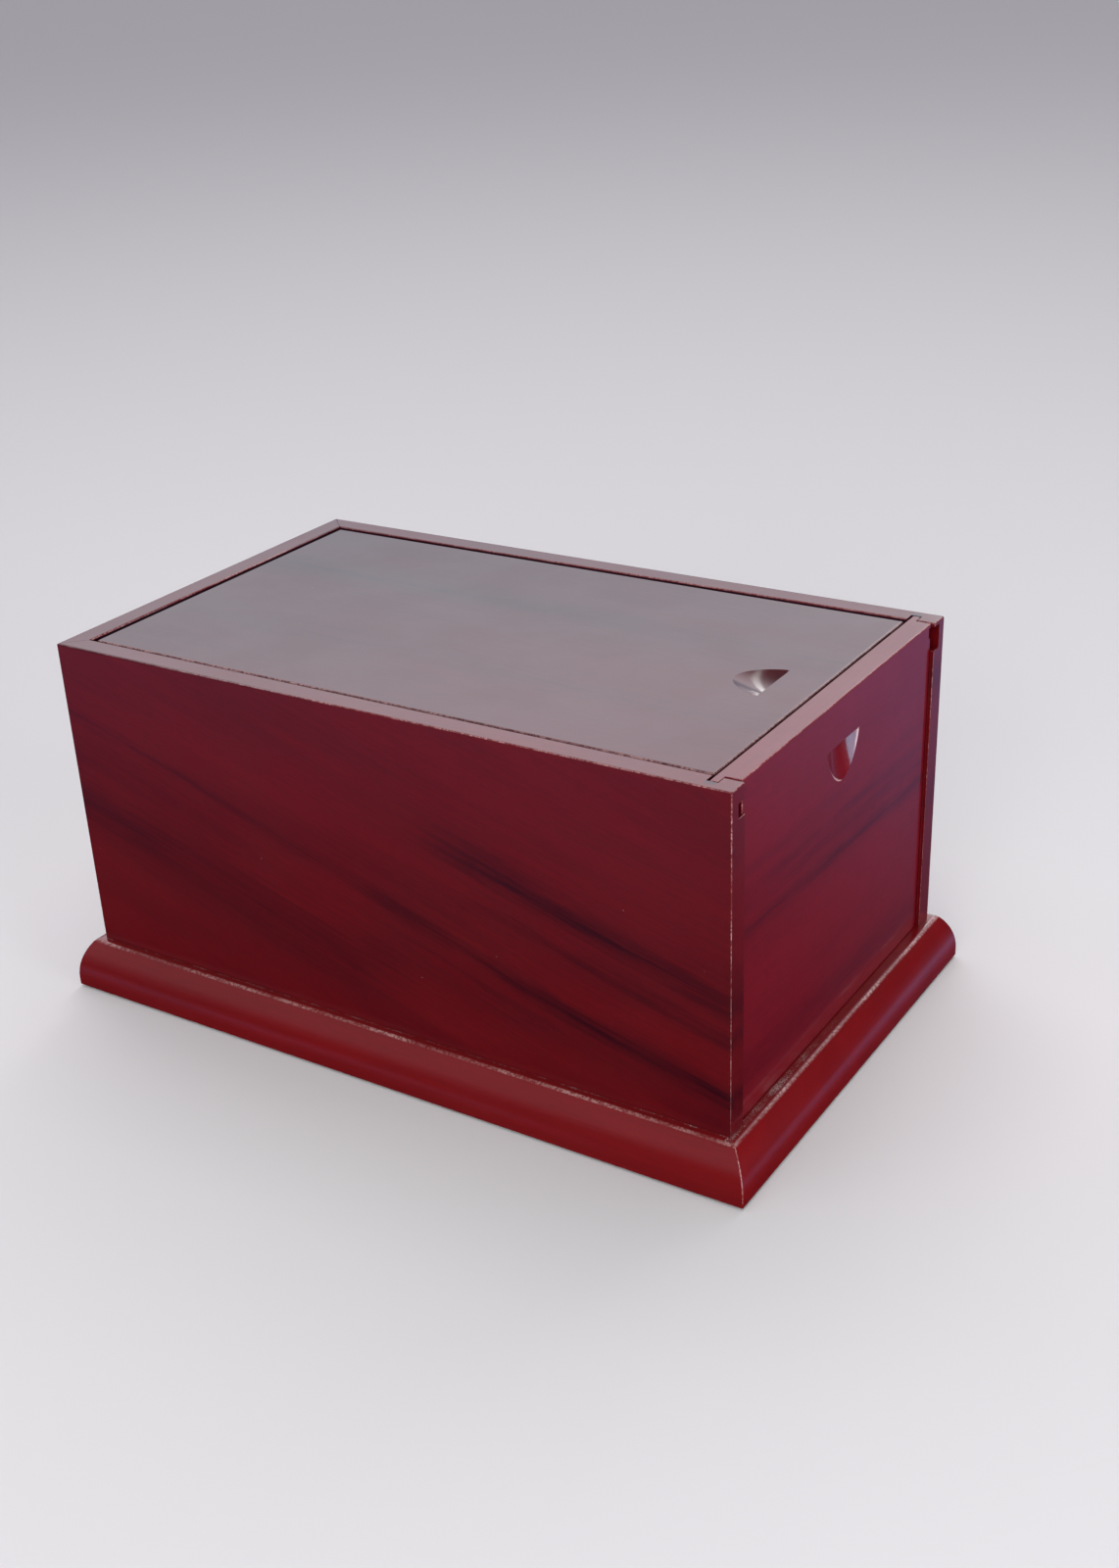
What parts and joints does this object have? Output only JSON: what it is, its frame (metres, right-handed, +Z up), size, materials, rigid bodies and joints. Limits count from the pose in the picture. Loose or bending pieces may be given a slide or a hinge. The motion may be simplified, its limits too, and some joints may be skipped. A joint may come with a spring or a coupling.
{
  "type": "puzzle box",
  "caption": "Lacquered wooden box with a sliding lid that is locked by a rising end panel, on a rounded-over base board.",
  "frame": {"origin": "on the table, under the middle of the box", "axes": "+X along the length, towards the end with the rising panel; +Y towards the far side wall; +Z up"},
  "size_m": [0.2666, 0.1666, 0.13],
  "materials": {
    "side_boards": "dark mahogany-red lacquer, satin gloss",
    "panel_board": "dark mahogany-red lacquer, satin gloss",
    "lid_board": "dark mahogany-red lacquer, satin gloss",
    "base_board": "mahogany-red lacquer, satin gloss",
    "underlay_felt": "matte felt",
    "screw_steel": "zinc plated"
  },
  "bodies": {
    "case": {"base_board": "base_board", "near_side_wall": "side_boards", "far_side_wall": "side_boards", "closed_end_wall": "side_boards", "felt_sheet": "underlay_felt", "screw_1": "screw_steel", "screw_2": "screw_steel", "screw_3": "screw_steel", "screw_4": "screw_steel", "screw_5": "screw_steel", "screw_6": "screw_steel"},
    "end_panel": {"end_panel": "panel_board"},
    "lid": {"lid": "lid_board"}
  },
  "joints": [
    {"name": "end_panel_lift", "type": "slide", "parent": "case", "child": "end_panel", "axis": [0, 0, 1], "range_m": [0, 0.113]},
    {"name": "lid_slide", "type": "slide", "parent": "case", "child": "lid", "axis": [1, 0, 0], "range_m": [-0.0005, 0.001]}
  ]
}
